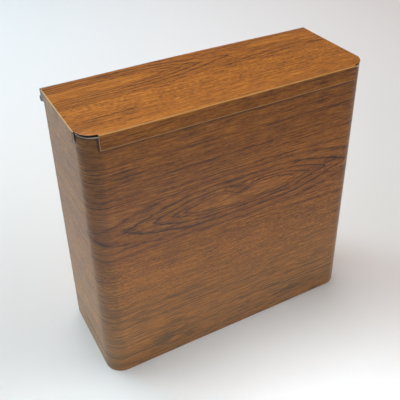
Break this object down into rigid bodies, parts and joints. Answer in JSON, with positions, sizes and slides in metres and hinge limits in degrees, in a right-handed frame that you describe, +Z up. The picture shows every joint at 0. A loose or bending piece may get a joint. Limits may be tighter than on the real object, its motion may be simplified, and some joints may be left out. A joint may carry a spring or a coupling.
{
  "type": "archival document box",
  "caption": "Upright archival box of wood-grain vinyl-clad sheet steel, with rounded front corners and a flanged lid on a continuous rear hinge.",
  "frame": {"origin": "on the table, under the middle of the whole part's footprint with the lid closed", "axes": "+X to the right along the long front face, +Y from the front face to the hinged back, +Z up"},
  "size_m": [0.3218, 0.1226, 0.31],
  "materials": {
    "woodgrain_clad_steel": "satin wood-grain vinyl film over steel sheet",
    "galvanised_steel": "dull spangled zinc",
    "zinc_plated_steel": "bright zinc plate, slightly worn",
    "rivet_aluminium": "plain, satin",
    "pad_rubber": "matt black"
  },
  "bodies": {
    "case": {"body_shell": "woodgrain_clad_steel", "back_panel": "woodgrain_clad_steel", "bottom_pan": "galvanised_steel", "hinge_leaf_body": "zinc_plated_steel", "hinge_pin": "zinc_plated_steel", "body_rivet_1": "rivet_aluminium", "body_rivet_2": "rivet_aluminium", "body_rivet_3": "rivet_aluminium", "body_rivet_4": "rivet_aluminium", "body_rivet_5": "rivet_aluminium", "foot_pad_front_left": "pad_rubber", "foot_pad_front_right": "pad_rubber", "foot_pad_rear_left": "pad_rubber", "foot_pad_rear_right": "pad_rubber"},
    "lid": {"lid": "woodgrain_clad_steel", "hinge_leaf_lid": "zinc_plated_steel", "lid_rivet_1": "rivet_aluminium", "lid_rivet_2": "rivet_aluminium", "lid_rivet_3": "rivet_aluminium", "lid_rivet_4": "rivet_aluminium", "lid_rivet_5": "rivet_aluminium", "lid_rivet_6": "rivet_aluminium"}
  },
  "joints": [
    {"name": "lid_hinge", "type": "hinge", "parent": "case", "child": "lid", "pos_m": [0, 0.0581, 0.2975], "axis": [-1, 0, 0], "range_deg": [0, 195]}
  ]
}
